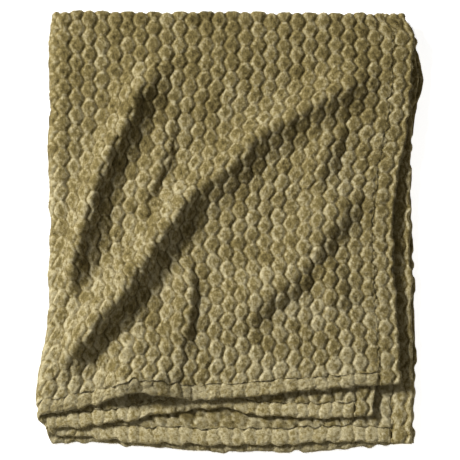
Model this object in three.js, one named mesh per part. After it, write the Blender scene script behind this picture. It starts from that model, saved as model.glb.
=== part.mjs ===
// A plush throw folded in quarters and laid flat: one cloth with a stitched hem along each of its
// four edges. Layer 1 is the top layer and layer 4 lies on the ground. The cloth is folded in half
// along the far (+Y) side, and then in half again along the left (-X) side, so the far folds join
// layers 1-2 and 3-4, and the left folds join layers 1-4 (outer) and 2-3 (inner).
// Each hem and each row of stitches runs from one layer, round a fold, to another.
// Millimetres, +Z up.

import * as THREE from 'three';

const { clamp, lerp, smoothstep } = THREE.MathUtils;

// ---- driving dimensions ----
const CLOTH_WIDTH = 1270;
const THICK = 9;            // pile to pile
const GAP = 0.4;            // between neighbouring solids
const HEM_RIGHT = 36;       // width of the hems on the right edges
const HEM_NEAR = 27;        // width of the hems on the near edges
const STITCH_WIDTH = 1.4;   // a row of stitches, across the groove beside each hem
const STITCH_DEPTH = 5;     // and through the cloth
const STITCH_START = 0.005; // where a near row begins, as a part of its layer's width
const LAYERS = 4;
const LEFT_SIDE = -310;     // outermost x of the left folds, where they are straight
const FAR_SIDE = 377;       // outermost y of the far folds, at their left end
const FAR_DROP = 5;         // how much nearer the far folds are at their right end

const PITCH = THICK + GAP;                           // from one layer to the next
const SEAM = STITCH_WIDTH + 2 * GAP;                 // width of the groove for the stitches
const OUTER_RADIUS = (LAYERS * PITCH - GAP) / 2;     // of the outer left fold
const INNER_RADIUS = PITCH - GAP / 2;                // of the inner left fold and the far folds
const LEFT_X = LEFT_SIDE + OUTER_RADIUS;             // where the left folds begin
const FAR_Y = FAR_SIDE - INNER_RADIUS;               // where the far folds begin
const HALF_WIDTH = CLOTH_WIDTH / 2;

// ---- outlines, as [place, offset] points that a smooth curve joins ----
// The left folds flare out near their near end: [y, x offset]
const LEFT_FLARE = [[-330, -8], [-290, -16], [-240, -7], [-170, 2], [-60, 5], [100, 0]];
// Each layer's right edge: [y, x]. The ridges draw layer 1 in.
const RIGHT_EDGE = [
  [[-270, 289], [-160, 284], [-60, 279], [62, 287], [167, 306], [260, 317], [370, 323]],
  [[-323, 243], [-150, 258], [0, 276], [200, 306], [370, 323]],
  [[-372, 308], [-200, 312], [0, 311], [200, 318], [370, 324]],
  [[-372, 311], [-180, 318], [30, 314], [160, 318], [260, 330], [370, 324]],
];
// Each layer's near edge: [x, y]
const NEAR_EDGE = [
  [[-330, -325], [-240, -310], [-150, -288], [-67, -298], [20, -292], [170, -280], [290, -270]],
  [[-300, -345], [-210, -338], [-110, -321], [-38, -306], [50, -325], [140, -326], [243, -323]],
  [[-300, -348], [-217, -360], [-110, -368], [80, -370], [219, -364], [309, -372]],
  [[-305, -362], [-210, -368], [-56, -380], [20, -382], [180, -378], [311, -366]],
];

// ---- ridges raised in layer 1: crest points [x, y], height, and the width of each side ----
const RIDGES = [
  {
    crest: [
      [234, 254], [171, 219], [118, 184], [55, 148], [-21, 84], [-65, 46], [-120, -24],
      [-166, -93], [-221, -163], [-268, -232], [-287, -267],
    ],
    height: 31, gentle: 66, steep: 44, fade: 0.18,
  },
  {
    crest: [[-97, 313], [-135, 255], [-169, 185], [-205, 116], [-231, 46], [-253, -23], [-272, -101]],
    height: 24, gentle: 50, steep: 42, fade: 0.25,
  },
];
const RIDGE_CLEAR = 60;     // the ridges sink to nothing over this distance from a fold
const INNER_REACH = 0.5;    // how far the inner left fold bulges, as a part of its radius

// ---- how finely the shapes are divided ----
const ROWS = 26;            // along every layer, so that the left folds match both of theirs
const COLUMNS = [24, 7, 7, 7];
const FOLD_FACETS = 6;      // of a half-round fold

// ---- outlines and heights ----

/** A smooth curve through [place, value] points, in order of place and level past its ends. */
function through(points) {
  const slopes = points.map((_, i) => {
    const [p0, v0] = points[Math.max(i - 1, 0)];
    const [p1, v1] = points[Math.min(i + 1, points.length - 1)];
    return (v1 - v0) / (p1 - p0);
  });
  return (place) => {
    let i = 0;
    while (i < points.length - 2 && place > points[i + 1][0]) i += 1;
    const [p0, v0] = points[i];
    const [p1, v1] = points[i + 1];
    const span = p1 - p0;
    const t = clamp((place - p0) / span, 0, 1);
    const bend = t * (1 - t) * span * ((1 - t) * slopes[i] - t * slopes[i + 1]);
    return lerp(v0, v1, t * t * (3 - 2 * t)) + bend;
  };
}

const flare = through(LEFT_FLARE);
const rightX = RIGHT_EDGE.map(through);
const nearY = NEAR_EDGE.map(through);
const leftX = (y) => LEFT_X + flare(y);
const farY = (x) => FAR_Y - FAR_DROP * clamp((x - LEFT_X) / HALF_WIDTH, 0, 1);

/** The height of the underside of layer 0, 1, 2 or 3, counted from the top, where it is flat. */
const underside = (layer) => (LAYERS - 1 - layer) * PITCH;

/** The nearest point on a crest: how far it is, on which side and what part of the way along. */
function nearestOn(crest, x, y) {
  let nearest = { distance: Infinity };
  for (let i = 0; i < crest.length - 1; i += 1) {
    const [ax, ay] = crest[i];
    const [dx, dy] = [crest[i + 1][0] - ax, crest[i + 1][1] - ay];
    const t = clamp(((x - ax) * dx + (y - ay) * dy) / (dx * dx + dy * dy), 0, 1);
    const distance = Math.hypot(x - ax - t * dx, y - ay - t * dy);
    if (distance < nearest.distance) {
      const side = dx * (y - ay) - dy * (x - ax);
      nearest = { distance, side, part: (i + t) / (crest.length - 1) };
    }
  }
  return nearest;
}

/** How far the ridges raise the top layer above its flat place. */
function lift(x, y) {
  let rise = 0;
  for (const { crest, height, gentle, steep, fade } of RIDGES) {
    const { distance, side, part } = nearestOn(crest, x, y);
    const across = clamp(distance / (side > 0 ? steep : gentle), 0, 1);
    const ends = smoothstep(part, 0, fade) * smoothstep(1 - part, 0, fade);
    rise += (height * ends * (1 + Math.cos(Math.PI * across))) / 2;
  }
  return rise * smoothstep(Math.min(x - leftX(y), farY(x) - y), 0, RIDGE_CLEAR);
}

/** The point at x, y on the underside of a layer. */
const onLayer = (layer, x, y) => (
  new THREE.Vector3(x, y, underside(layer) + (layer === 0 ? lift(x, y) : 0))
);

/** The point where x = acrossAt(y) and y = alongAt(x), on the underside of a layer. */
function meeting(layer, acrossAt, alongAt) {
  let [x, y] = [0, 0];
  for (let i = 0; i < 8; i += 1) {
    x = acrossAt(y);
    y = alongAt(x);
  }
  return onLayer(layer, x, y);
}

/** The point between a layer's folds and its seams, across and along from 0 to 1. */
const inside = (layer, across, along) => meeting(
  layer,
  (y) => lerp(leftX(y) + GAP, rightX[layer](y) - HEM_RIGHT - SEAM, across),
  (x) => lerp(nearY[layer](x) + HEM_NEAR + SEAM, farY(x) - GAP, along),
);

/** The point beside inside(layer, 1, along), this far in from the right edge. */
function byRightEdge(layer, along, inset) {
  const { y } = inside(layer, 1, along);
  return onLayer(layer, rightX[layer](y) - inset, y);
}

/** The point beside inside(layer, across, 0), this far in from the near edge. */
function byNearEdge(layer, across, inset) {
  const { x } = inside(layer, across, 0);
  return onLayer(layer, x, nearY[layer](x) + inset);
}

/** The point this far in from the near edge, beside the left fold. */
const byLeftFold = (layer, inset) => meeting(layer, leftX, (x) => nearY[layer](x) + inset);

// ---- closed solids ----

/**
 * A closed solid from rings of points. Each half of a ring faces the other half. Each four-sided
 * face is split along its shorter diagonal, which runs along a ridge and not across it.
 */
function lofted(rings) {
  const points = rings.flat();
  const count = rings[0].length;
  const last = points.length - count;
  const faces = [];
  const apart = (a, b) => points[a].distanceTo(points[b]);
  const quad = (a, b, c, d) => {
    if (apart(a, c) <= apart(b, d)) faces.push(a, b, c, a, c, d);
    else faces.push(a, b, d, b, c, d);
  };
  for (let start = 0; start < last; start += count) {
    for (let j = 0; j < count; j += 1) {
      const next = (j + 1) % count;
      quad(start + j, start + next, start + count + next, start + count + j);
    }
  }
  for (let j = 0; j < count / 2 - 1; j += 1) {
    const facing = count - 1 - j;
    quad(j, facing, facing - 1, j + 1);
    quad(last + j, last + j + 1, last + facing - 1, last + facing);
  }
  let volume = 0;
  for (let i = 0; i < faces.length; i += 3) {
    const [a, b, c] = [points[faces[i]], points[faces[i + 1]], points[faces[i + 2]]];
    volume += a.dot(b.clone().cross(c));
  }
  if (volume < 0) faces.reverse();
  const geometry = new THREE.BufferGeometry().setFromPoints(points);
  geometry.setIndex(faces);
  geometry.computeVertexNormals();
  return geometry;
}

const up = (point, height) => new THREE.Vector3(point.x, point.y, point.z + height);
const steps = (count, make) => Array.from({ length: count + 1 }, (_, i) => make(i / count));

/** The slab of one layer, between its folds and its seams. */
function layerSlab(layer) {
  return lofted(steps(ROWS, (along) => {
    const under = steps(COLUMNS[layer], (across) => inside(layer, across, along));
    return [...under, ...under.map((point) => up(point, THICK)).reverse()];
  }));
}

/** A hem with a rounded outer edge, from pairs of points on its seam side and its outer edge. */
function hemStrip(pairs) {
  return lofted(pairs.map(([seam, outer]) => {
    const shoulder = seam.clone().lerp(outer, 0.88);
    return [
      seam, shoulder, up(outer, THICK * 0.28),
      up(outer, THICK * 0.72), up(shoulder, THICK), up(seam, THICK),
    ];
  }));
}

/** The hem on a layer's right edge, from the near corner to the far fold. */
function rightHem(layer) {
  const across = (alongAt) => [HEM_RIGHT, 0].map((inset) => (
    meeting(layer, (y) => rightX[layer](y) - inset, alongAt)
  ));
  return hemStrip([
    across(nearY[layer]),
    ...steps(ROWS, (along) => (
      [HEM_RIGHT, 0].map((inset) => byRightEdge(layer, along, inset))
    )).slice(0, -1),
    across((x) => farY(x) - GAP),
  ]);
}

/** The hem on a layer's near edge, from the left fold to the right hem. */
function nearHem(layer) {
  const nextToFold = (inset) => byLeftFold(layer, inset).add(new THREE.Vector3(GAP, 0, 0));
  const nextToHem = (inset) => meeting(
    layer,
    (y) => rightX[layer](y) - HEM_RIGHT - GAP,
    (x) => nearY[layer](x) + inset,
  );
  return hemStrip([
    [HEM_NEAR, 0].map(nextToFold),
    ...steps(COLUMNS[layer], (across) => (
      [HEM_NEAR, 0].map((inset) => byNearEdge(layer, across, inset))
    )).slice(1),
    [HEM_NEAR, 0].map(nextToHem),
  ]);
}

/**
 * A half-round fold joining two layers. leaves is a list of where it leaves the upper and the
 * lower layer, with its reach, from 0 to 1. It bulges along out.
 */
function fold(upper, lower, radius, out, leaves) {
  const middle = (underside(upper) + THICK + underside(lower)) / 2;
  return lofted(leaves.map(({ high, low, reach = 1 }) => {
    const arc = (r) => steps(FOLD_FACETS, (turn) => {
      const angle = Math.PI * (turn - 0.5);
      const point = low.clone().lerp(high, turn).addScaledVector(out, reach * r * Math.cos(angle));
      return point.setZ(middle + r * Math.sin(angle));
    });
    return [...arc(radius), ...arc(radius - THICK).reverse()];
  }));
}

const LEFTWARDS = new THREE.Vector3(-1, 0, 0);
const FARWARDS = new THREE.Vector3(0, 1, 0);

/** The left fold between two layers, with its far end drawn in to round off the corner. */
function leftFold(upper, lower, radius, reach) {
  const leaving = (layer, along) => {
    const { y } = inside(layer, 0, along);
    return new THREE.Vector3(leftX(y), y, 0);
  };
  const corner = leaving(upper, 1).addScaledVector(FARWARDS, INNER_RADIUS / 2);
  return fold(upper, lower, radius, LEFTWARDS, [
    { high: byLeftFold(upper, HEM_NEAR + GAP), low: byLeftFold(lower, HEM_NEAR + GAP), reach },
    ...steps(ROWS, (along) => (
      { high: leaving(upper, along), low: leaving(lower, along), reach }
    )),
    { high: corner, low: corner, reach: reach * 0.6 },
  ]);
}

/** The near hem where it goes round a left fold. */
const nearHemFold = (upper, lower, radius, reach) => (
  fold(upper, lower, radius, LEFTWARDS, [0, HEM_NEAR].map((inset) => (
    { high: byLeftFold(upper, inset), low: byLeftFold(lower, inset), reach }
  )))
);

/** The stretch of a far fold between two distances in from the right edges. */
function farFold(upper, lower, insets) {
  const leaving = (layer, inset) => meeting(layer, (y) => rightX[layer](y) - inset, farY);
  const toLeft = new THREE.Vector3(LEFT_X + GAP, FAR_Y, 0);
  return fold(upper, lower, INNER_RADIUS, FARWARDS, insets.map((inset) => (
    inset === null
      ? { high: toLeft, low: toLeft }
      : { high: leaving(upper, inset), low: leaving(lower, inset) }
  )));
}

/** A row of stitches along a route of { point, across, outward }, as a flat band. */
function stitchBand(route) {
  return lofted(route.map(({ point, across, outward }) => {
    const corner = (i, j) => point.clone()
      .addScaledVector(across, (i * STITCH_WIDTH) / 2)
      .addScaledVector(outward, (j * STITCH_DEPTH) / 2);
    return [corner(-1, -1), corner(1, -1), corner(1, 1), corner(-1, 1)];
  }));
}

/** The row of stitches beside the right hem, along one layer, round the far fold and back. */
function rightStitches(upper, lower) {
  const across = new THREE.Vector3(1, 0, 0);
  const along = (layer, side) => steps(ROWS, (part) => ({
    point: up(byRightEdge(layer, part, HEM_RIGHT + SEAM / 2), THICK / 2),
    across,
    outward: new THREE.Vector3(0, 0, side),
  }));
  const [there, back] = [along(upper, 1), along(lower, -1).reverse()];
  const [from, to] = [there.at(-1).point, back[0].point];
  const middle = (from.z + to.z) / 2;
  const bend = steps(FOLD_FACETS, (turn) => {
    const outward = new THREE.Vector3(0, 0, Math.cos(Math.PI * turn))
      .addScaledVector(FARWARDS, Math.sin(Math.PI * turn));
    const centre = from.clone().lerp(to, turn).setZ(middle);
    return { point: centre.addScaledVector(outward, from.z - middle), across, outward };
  });
  return stitchBand([...there.slice(0, -1), ...bend, ...back.slice(1)]);
}

/** The row of stitches beside a near hem, from the left fold to the right seam. */
function nearStitches(layer) {
  const row = steps(COLUMNS[layer], (part) => (
    byNearEdge(layer, Math.max(part, STITCH_START), HEM_NEAR + SEAM / 2)
  ));
  return stitchBand(row.map((point) => ({
    point: up(point, THICK / 2),
    across: new THREE.Vector3(0, 1, 0),
    outward: new THREE.Vector3(0, 0, 1),
  })));
}

// ---- the throw ----

const throwBlanket = new THREE.Group();

function addPiece(name, geometry, color, roughness) {
  const material = new THREE.MeshStandardMaterial({ color, roughness, metalness: 0 });
  const mesh = new THREE.Mesh(geometry, material);
  mesh.name = name;
  throwBlanket.add(mesh);
}
const addCloth = (name, geometry) => addPiece(name, geometry, 0x8c7d50, 0.95);
const addStitches = (name, geometry) => addPiece(name, geometry, 0x6b5f3a, 0.8);

for (let layer = 0; layer < LAYERS; layer += 1) {
  addCloth(`layer_${layer + 1}`, layerSlab(layer));
  addCloth(`right_hem_layer_${layer + 1}`, rightHem(layer));
  addCloth(`near_hem_layer_${layer + 1}`, nearHem(layer));
  addStitches(`near_stitches_layer_${layer + 1}`, nearStitches(layer));
}

// The far folds, and the right hem and its stitches where they go round them.
for (const [upper, lower] of [[0, 1], [2, 3]]) {
  const pair = `layers_${upper + 1}_${lower + 1}`;
  addCloth(`far_fold_${pair}`, farFold(upper, lower, [null, HEM_RIGHT + SEAM]));
  addCloth(`right_hem_fold_${pair}`, farFold(upper, lower, [HEM_RIGHT, 0]));
  addStitches(`right_stitches_${pair}`, rightStitches(upper, lower));
}

// The left folds, one inside the other, and the near hems where they go round them.
for (const [upper, lower, radius, reach] of [
  [0, 3, OUTER_RADIUS, 1], [1, 2, INNER_RADIUS, INNER_REACH],
]) {
  const pair = `layers_${upper + 1}_${lower + 1}`;
  addCloth(`left_fold_${pair}`, leftFold(upper, lower, radius, reach));
  addCloth(`near_hem_fold_${pair}`, nearHemFold(upper, lower, radius, reach));
}

// The origin is under the middle of the throw.
const box = new THREE.Box3().setFromObject(throwBlanket);
const middle = box.getCenter(new THREE.Vector3());
throwBlanket.position.set(-middle.x, -middle.y, -box.min.z);

export default throwBlanket;
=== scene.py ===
"""A plush honeycomb throw, folded in quarters and laid flat.

The throw is one cloth. Its places on the cloth are given by two lengths: u runs across it, from
the left fold, where it is 0, to the hems on the right, and w runs along it, from the far folds to
the near hems. Both have a sign, so that every layer has places of its own:

    layer 1, on top    u > 0, w > 0        layer 2    u > 0, w < 0
    layer 4, lowest    u < 0, w > 0        layer 3    u < 0, w < 0

Each visible piece is first laid out on the flat cloth and then folded by folded(). The face of the
cloth that is uppermost on layer 1 is called the outside, and the other one the lining.
"""

import math

import bpy
import numpy as np
from bpy.props import FloatProperty, FloatVectorProperty, IntProperty, PointerProperty
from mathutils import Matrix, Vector


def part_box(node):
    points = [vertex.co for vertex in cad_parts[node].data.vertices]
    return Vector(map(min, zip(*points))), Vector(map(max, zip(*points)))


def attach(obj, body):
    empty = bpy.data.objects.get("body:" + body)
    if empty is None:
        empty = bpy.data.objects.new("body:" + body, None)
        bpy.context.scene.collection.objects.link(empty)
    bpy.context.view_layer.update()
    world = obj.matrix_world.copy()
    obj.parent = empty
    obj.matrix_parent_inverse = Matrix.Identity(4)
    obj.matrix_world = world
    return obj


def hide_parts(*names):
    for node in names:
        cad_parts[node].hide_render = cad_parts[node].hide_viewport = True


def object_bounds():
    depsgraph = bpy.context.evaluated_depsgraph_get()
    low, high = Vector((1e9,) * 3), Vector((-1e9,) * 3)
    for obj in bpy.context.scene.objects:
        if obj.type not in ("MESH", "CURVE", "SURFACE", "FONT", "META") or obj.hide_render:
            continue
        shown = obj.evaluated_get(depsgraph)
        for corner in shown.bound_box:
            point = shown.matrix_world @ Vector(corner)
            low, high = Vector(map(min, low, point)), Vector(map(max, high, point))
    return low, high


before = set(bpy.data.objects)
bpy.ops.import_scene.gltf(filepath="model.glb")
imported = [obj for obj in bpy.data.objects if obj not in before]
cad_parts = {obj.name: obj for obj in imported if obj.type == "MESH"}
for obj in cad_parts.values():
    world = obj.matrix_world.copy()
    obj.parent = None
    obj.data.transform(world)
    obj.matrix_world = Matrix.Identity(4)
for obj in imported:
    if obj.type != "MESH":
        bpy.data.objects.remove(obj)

bl_info = {
    "name": "Folded Plush Throw",
    "version": (1, 0, 0),
    "blender": (4, 5, 0),
    "location": "3D View > Sidebar > Throw",
    "description": "Builds a honeycomb plush throw folded in quarters",
    "category": "Add Mesh",
}

MM = 0.001
CAD_LOW, CAD_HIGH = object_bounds()
LAYERS = (1, 2, 3, 4)


def height_of(layer):
    """The height of the middle of a flat layer's cloth."""
    low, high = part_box(f"near_stitches_layer_{layer}")
    return (low.z + high.z) / 2


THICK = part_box("layer_4")[1].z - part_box("layer_4")[0].z
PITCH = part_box("layer_3")[0].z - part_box("layer_4")[0].z
FOLD_RADIUS = PITCH / 2            # from the middle of a pair of layers to either of them
PAIR_RADIUS = PITCH                # of the left fold, at the middle of the pair
STACK_MIDDLE = 2 * PITCH - (PITCH - THICK) / 2
FAR_BEND = math.pi / 2 * FOLD_RADIUS
LEFT_BEND = math.pi / 2 * PAIR_RADIUS


# ---- sizes and colours that a user may change ----

def length_setting(name, description, default, low, high):
    return FloatProperty(name=name, description=description, default=default, min=low, max=high,
                         unit="LENGTH")


def colour_setting(name, description, default):
    return FloatVectorProperty(name=name, description=description, default=default, min=0, max=1,
                               subtype="COLOR")


class ThrowSizes(bpy.types.PropertyGroup):
    cloth_width: length_setting(
        "Cloth width", "Width of the cloth before it is folded", 1.27, 0.5, 2.5)
    cloth_length: length_setting(
        "Cloth length", "Length of the cloth before it is folded", 1.52, 0.5, 2.5)
    right_hem: length_setting(
        "Right hem", "Width of the hems on the right edges", 0.036, 0.01, 0.08)
    near_hem: length_setting(
        "Near hem", "Width of the hems on the near edges", 0.027, 0.01, 0.08)
    tuft_width: length_setting(
        "Tuft width", "Distance between neighbouring columns of tufts", 0.0227, 0.01, 0.06)
    tuft_length: length_setting(
        "Tuft length", "Distance between tufts in one column", 0.0332, 0.01, 0.08)
    zigzag: length_setting(
        "Zigzag", "How far a groove between columns swings to each side", 0.0036, 0, 0.01)
    groove_height: length_setting(
        "Groove height", "From the middle of the cloth to the floor of a groove", 0.0005, 0.0002, 0.004)
    tuft_height: length_setting(
        "Tuft height", "From the middle of the cloth to the top of a tuft", 0.0051, 0.002, 0.01)
    pile_length: length_setting(
        "Pile length", "Length of a fibre that stands clear of the tufts", 0.0038, 0.0005, 0.01)
    pile_count: IntProperty(
        name="Pile", description="Number of fibres on each square centimetre that shows",
        default=60, min=0, max=300,
    )


class ThrowColours(bpy.types.PropertyGroup):
    # The pile's colour ramp: its deep end gives the painted shade in the grooves and between lumps, and
    # its light end the painted sheen on the rims of tufts; grain and random tone use the whole ramp.
    deep: colour_setting(
        "Deep", "Colour of the roots of the pile, down in the grooves", (0.040, 0.028, 0.007))
    middle: colour_setting(
        "Middle", "Colour of the pile seen from its tips", (0.213, 0.166, 0.060))
    light: colour_setting(
        "Light", "Colour of the pile seen from its side, on the rims of tufts", (0.545, 0.48, 0.295))
    thread: colour_setting(
        "Thread", "Colour of the sewing thread", (0.15, 0.12, 0.055))


class ThrowStage(bpy.types.PropertyGroup):
    key: FloatProperty(
        name="Key light", description="Power of the light from the far left",
        default=485, min=0, max=2000, unit="POWER",
    )
    near: FloatProperty(
        name="Near light", description="Power of the weak light from the near side",
        default=2.5, min=0, max=200, unit="POWER",
    )
    fill: FloatProperty(
        name="Fill", description="Strength of the light from all round",
        default=0.15, min=0, max=5,
    )


def sizes():
    return bpy.context.scene.throw_sizes


def colours():
    return bpy.context.scene.throw_colours


# ---- the outlines of the layers, read from the frame ----

OUTLINE_SAMPLES = 400
OUTLINE_SMOOTHING = 12     # samples that each one is averaged over
OUTLINE_SLOPE = 0.8        # an edge steeper than this belongs to the next side of the layer
OUTLINE_MARGIN = 0.03      # that an edge is drawn on past its ends


def outline(nodes, along, across, side):
    """The edge of some nodes, as a function of the coordinate along it. side is 1 or -1."""
    cuts = []
    for node in nodes:
        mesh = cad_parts[node].data
        points = np.array([v.co[:] for v in mesh.vertices])
        pairs = np.array([e.vertices[:] for e in mesh.edges])
        cuts.append(np.stack([points[pairs[:, 0]], points[pairs[:, 1]]], 1))
    ends = np.concatenate(cuts)[:, :, (along, across)]
    places = np.linspace(ends[:, :, 0].min(), ends[:, :, 0].max(), OUTLINE_SAMPLES)[1:-1]
    values = []
    for place in places:
        crossing = ends[(ends[:, :, 0].min(1) <= place) & (ends[:, :, 0].max(1) >= place)]
        (p0, v0), (p1, v1) = crossing[:, 0].T, crossing[:, 1].T
        part = np.clip((place - p0) / np.where(p1 == p0, 1, p1 - p0), 0, 1)
        values.append((side * (v0 + (v1 - v0) * part)).max())
    values = side * np.array(values)
    window = np.hanning(OUTLINE_SMOOTHING + 2)[1:-1]
    level = np.abs(np.gradient(values, places)) < OUTLINE_SLOPE
    breaks = np.flatnonzero(np.diff(np.concatenate([[False], level, [False]]).astype(int)))
    first, last = max(zip(breaks[::2], breaks[1::2]), key=lambda run: run[1] - run[0])
    places, values = places[first:last], values[first:last]
    padded = np.pad(values, OUTLINE_SMOOTHING, mode="reflect", reflect_type="odd")
    values = np.convolve(padded, window / window.sum(), mode="same")
    values = values[OUTLINE_SMOOTHING:-OUTLINE_SMOOTHING]
    # it goes on straight past its ends
    step = places[OUTLINE_SMOOTHING] - places[0]
    before = values[0] - (values[OUTLINE_SMOOTHING] - values[0]) / step * OUTLINE_MARGIN
    after = values[-1] + (values[-1] - values[-1 - OUTLINE_SMOOTHING]) / step * OUTLINE_MARGIN
    places = np.concatenate([[places[0] - OUTLINE_MARGIN], places, [places[-1] + OUTLINE_MARGIN]])
    values = np.concatenate([[before], values, [after]])
    return lambda at: np.interp(at, places, values)


X, Y, Z = 0, 1, 2
LEFT = {n: outline([f"layer_{n}", f"near_hem_layer_{n}"], Y, X, -1) for n in LAYERS}
RIGHT = {n: outline([f"right_hem_layer_{n}"], Y, X, 1) for n in LAYERS}
NEAR = {n: outline([f"near_hem_layer_{n}", f"right_hem_layer_{n}"], X, Y, -1) for n in LAYERS}
FAR = {n: outline([f"layer_{n}"], X, Y, 1) for n in LAYERS}


# ---- smooth noise, the same on each run ----

def scatter(i, j, seed):
    """A number from 0 to 1 for each pair of whole numbers."""
    mixed = i.astype(np.int64) * 374761393 + j.astype(np.int64) * 668265263 + seed * 1274126177
    mixed = (mixed ^ (mixed >> 13)) * 1103515245
    return ((mixed ^ (mixed >> 16)) & 0xFFFFFF) / 0xFFFFFF


def noise(x, y, seed):
    """Smooth noise from -1 to 1, with features about 1 across."""
    i, j = np.floor(x), np.floor(y)
    s, t = x - i, y - j
    s, t = s * s * s * (s * (6 * s - 15) + 10), t * t * t * (t * (6 * t - 15) + 10)
    near = scatter(i, j, seed) * (1 - s) + scatter(i + 1, j, seed) * s
    far = scatter(i, j + 1, seed) * (1 - s) + scatter(i + 1, j + 1, seed) * s
    return 2 * (near * (1 - t) + far * t) - 1


def smooth_step(x):
    x = np.clip(x, 0, 1)
    return x * x * (3 - 2 * x)


def past(value, start, span):
    """0 for a value up to start and 1 from start + span on, with a smooth step between them."""
    return smooth_step((value - start) / span)


def add_noise(base, u, w, waves, seed):
    """Adds waves of noise to base. Each has its height, its size over u and its size over w."""
    return sum((height * noise(u / over_u, w / over_w, seed + k)
                for k, (height, over_u, over_w) in enumerate(waves)), base)


def unit(vectors):
    """Vectors made one long."""
    return vectors / np.maximum(np.linalg.norm(vectors, axis=-1, keepdims=True), 1e-12)


# ---- ridges and creases in the layers ----

# For each crease: its crest points in millimetres, its height, the widths of its two sides (left
# of its direction first) and how much of its length it takes to rise at its start and its end.
LONG_RIDGE_FAR = ((263, 274), (231, 257), (168, 222), (115, 187), (51, 151), (15, 118),
                  (-24, 87), (-48, 69), (-72, 45))
LONG_RIDGE_NEAR = ((-31, 90), (-55, 70), (-68, 48), (-92, 13), (-123, -22), (-138, -56),
                   (-169, -91), (-193, -126), (-224, -160), (-250, -195), (-272, -230),
                   (-291, -265))
SHORT_RIDGE = ((-101, 316), (-118, 292), (-138, 257), (-159, 222), (-173, 188), (-190, 153),
               (-209, 118), (-222, 84), (-234, 49), (-243, 14), (-256, -21), (-265, -55),
               (-275, -99), (-285, -142), (-297, -187))


def ridge(line, lip, swell, rise):
    """A ridge is two creases: a narrow lip on a broad swell. Both are (height, sides)."""
    return [dict(line=line, height=height, sides=sides, rise=rise) for height, sides in (lip, swell)]


TOP_CREASES = (
    *ridge(LONG_RIDGE_FAR, (5, (18, 30)), (15, (50, 66)), (0.22, 0.16)),
    *ridge(LONG_RIDGE_NEAR, (11, (20, 34)), (20, (48, 60)), (0.18, 0.2)),
    *ridge(SHORT_RIDGE, (10, (18, 26)), (16, (48, 48)), (0.24, 0.27)),
    # between the long ridge and the short one
    dict(line=((-82, 217), (-96, 189), (-108, 154), (-114, 120), (-123, 85), (-137, 50),
               (-147, 15), (-157, -12)),
         height=9, sides=(16, 44), rise=(0.5, 0.25)),
    # folds in the slack towards the right hem
    dict(line=((185, 190), (174, 155), (164, 120), (140, 82), (120, 58)),
         height=10, sides=(34, 58), rise=(0.3, 0.35)),
    dict(line=((216, 81), (197, 50), (181, 15), (154, -19), (133, -54), (101, -89), (58, -123),
               (27, -158), (-3, -196)),
         height=14, sides=(38, 84), rise=(0.2, 0.25)),
    dict(line=((147, -57), (168, -88), (181, -123), (186, -151)),
         height=9, sides=(40, 34), rise=(0.3, 0.3)),
    # slack that runs down to the near hem
    dict(line=((-79, -57), (-70, -92), (-70, -123), (-75, -158), (-80, -192), (-85, -227),
               (-96, -270)),
         height=13, sides=(22, 46), rise=(0.22, 0.5)),
    dict(line=((-185, -178), (-179, -227), (-176, -283)),
         height=12, sides=(105, 45), rise=(0.4, 0.2)),
    dict(line=((-236, -293), (-188, -281), (-120, -277), (-51, -286)),
         height=18, sides=(60, 60), rise=(0.35, 0.4)),
    dict(line=((-70, -306), (30, -312), (130, -306), (225, -300)),
         height=9, sides=(50, 50), rise=(0.2, 0.2)),
)


def rounded_line(points, per_span=8):
    """A smooth curve through points, as a polyline."""
    points = np.asarray(points, float)
    ends = np.vstack([2 * points[0] - points[1], points, 2 * points[-1] - points[-2]])
    t = np.linspace(0, 1, per_span, endpoint=False)[:, None]
    spans = []
    for p0, p1, p2, p3 in zip(ends, ends[1:], ends[2:], ends[3:]):
        spans.append(0.5 * (2 * p1 + (p2 - p0) * t + (2 * p0 - 5 * p1 + 4 * p2 - p3) * t ** 2
                            + (3 * p1 - p0 - 3 * p2 + p3) * t ** 3))
    return np.vstack([*spans, points[-1:]])


CREASE_WAVER = ((4 * MM, 0.06, 0.06),)       # how a crease strays from its line
WAVE, WAVE_SPAN = 0.8 * MM, 0.09             # of every layer
TOP_WAVE, TOP_WAVE_SPAN = 1.6 * MM, 0.12     # of layer 1, on top of that
DEEPEST_DENT = 3 * MM
FLAT_BY_FOLDS = 0.03       # over which a layer comes down to its flat height beside its folds


def crease(x, y, line, height, sides, rise):
    """How far one crease raises the points x, y."""
    path = rounded_line(line) * MM
    x, y = add_noise(x, x, y, CREASE_WAVER, 3), add_noise(y, x, y, CREASE_WAVER, 4)
    steps = np.diff(path, axis=0)
    lengths = np.hypot(*steps.T)
    start = np.concatenate([[0], np.cumsum(lengths)[:-1]])
    nearest, offset, place = np.full(x.shape, np.inf), np.zeros(x.shape), np.zeros(x.shape)
    for (px, py), (dx, dy), length, before in zip(path, steps, lengths, start):
        t = np.clip(((x - px) * dx + (y - py) * dy) / length ** 2, 0, 1)
        away = np.hypot(x - px - t * dx, y - py - t * dy)
        closer = away < nearest
        nearest = np.where(closer, away, nearest)
        offset = np.where(closer, dx * (y - py) - dy * (x - px), offset)
        place = np.where(closer, before + t * length, place)
    along = place / lengths.sum()
    width = np.where(offset > 0, sides[0], sides[1]) * MM
    across = np.clip(nearest / width, 0, 1)
    ends = smooth_step(along / rise[0]) * smooth_step((1 - along) / rise[1])
    return height * MM * ends * (1 + np.cos(np.pi * across)) / 2


def lift(layer, x, y):
    """How far a layer stands above its flat height at x, y."""
    rise = WAVE * noise(x / WAVE_SPAN, y / WAVE_SPAN, 10 + layer)
    if layer == 1:
        rise = rise + TOP_WAVE * noise(x / TOP_WAVE_SPAN + 7, y / TOP_WAVE_SPAN, 15)
        for each in TOP_CREASES:
            rise = rise + crease(x, y, **each)
        rise = np.maximum(rise, -DEEPEST_DENT)
    inside = np.minimum(x - LEFT[layer](y), FAR[layer](x) - y)
    return rise * smooth_step(inside / FLAT_BY_FOLDS)


# ---- folding the flat cloth ----

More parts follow.
